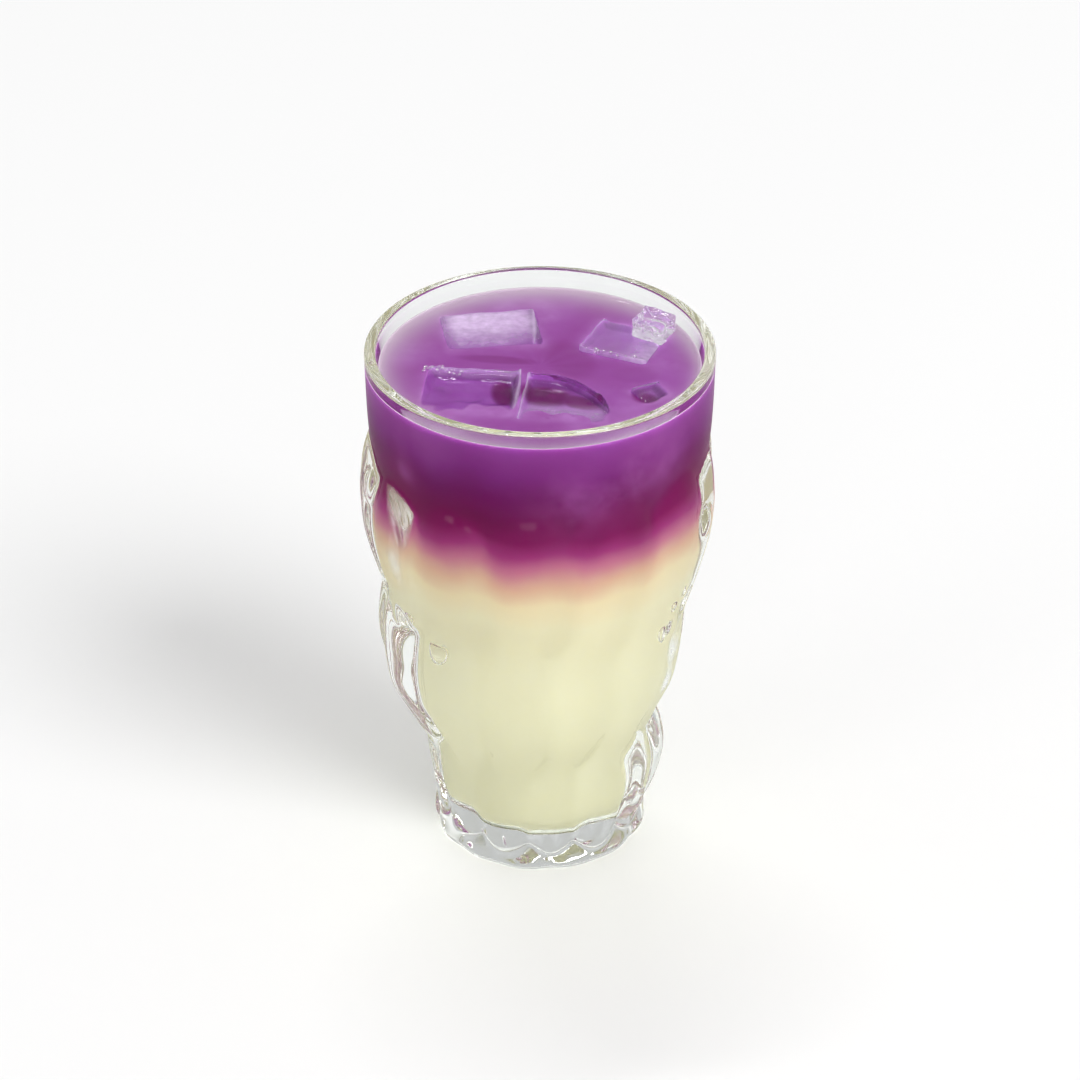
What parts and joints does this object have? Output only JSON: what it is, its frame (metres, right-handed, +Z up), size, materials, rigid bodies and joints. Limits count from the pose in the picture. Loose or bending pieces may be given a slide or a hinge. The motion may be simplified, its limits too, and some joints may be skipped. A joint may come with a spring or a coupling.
{
  "type": "layered mocktail",
  "caption": "Tall clear glass tumbler with a lumpy ice-like wall, filled with a pale yellow layer under a violet layer, with ice afloat at the top.",
  "frame": {"origin": "the middle of the glass's flat foot, where it stands, on the glass's axis", "axes": "+Z up along the glass's axis, -Y towards the front, +X to the right seen from the front"},
  "size_m": [0.084, 0.0847, 0.1329],
  "materials": {
    "clear_glass": "clear polished glass",
    "yellow_drink": "cloudy liquid, smooth and wet",
    "violet_drink": "deep violet liquid, smooth and wet",
    "ice": "melting ice, wet, cloudy inside"
  },
  "bodies": {
    "root": {"glass_tumbler": "clear_glass", "drink_yellow_layer": "yellow_drink", "drink_violet_layer": "violet_drink", "ice_back_left": "ice", "ice_back_right": "ice", "ice_front_left": "ice", "ice_front_right": "ice", "ice_chip_front": "ice", "ice_chip_top": "ice"}
  },
  "joints": []
}
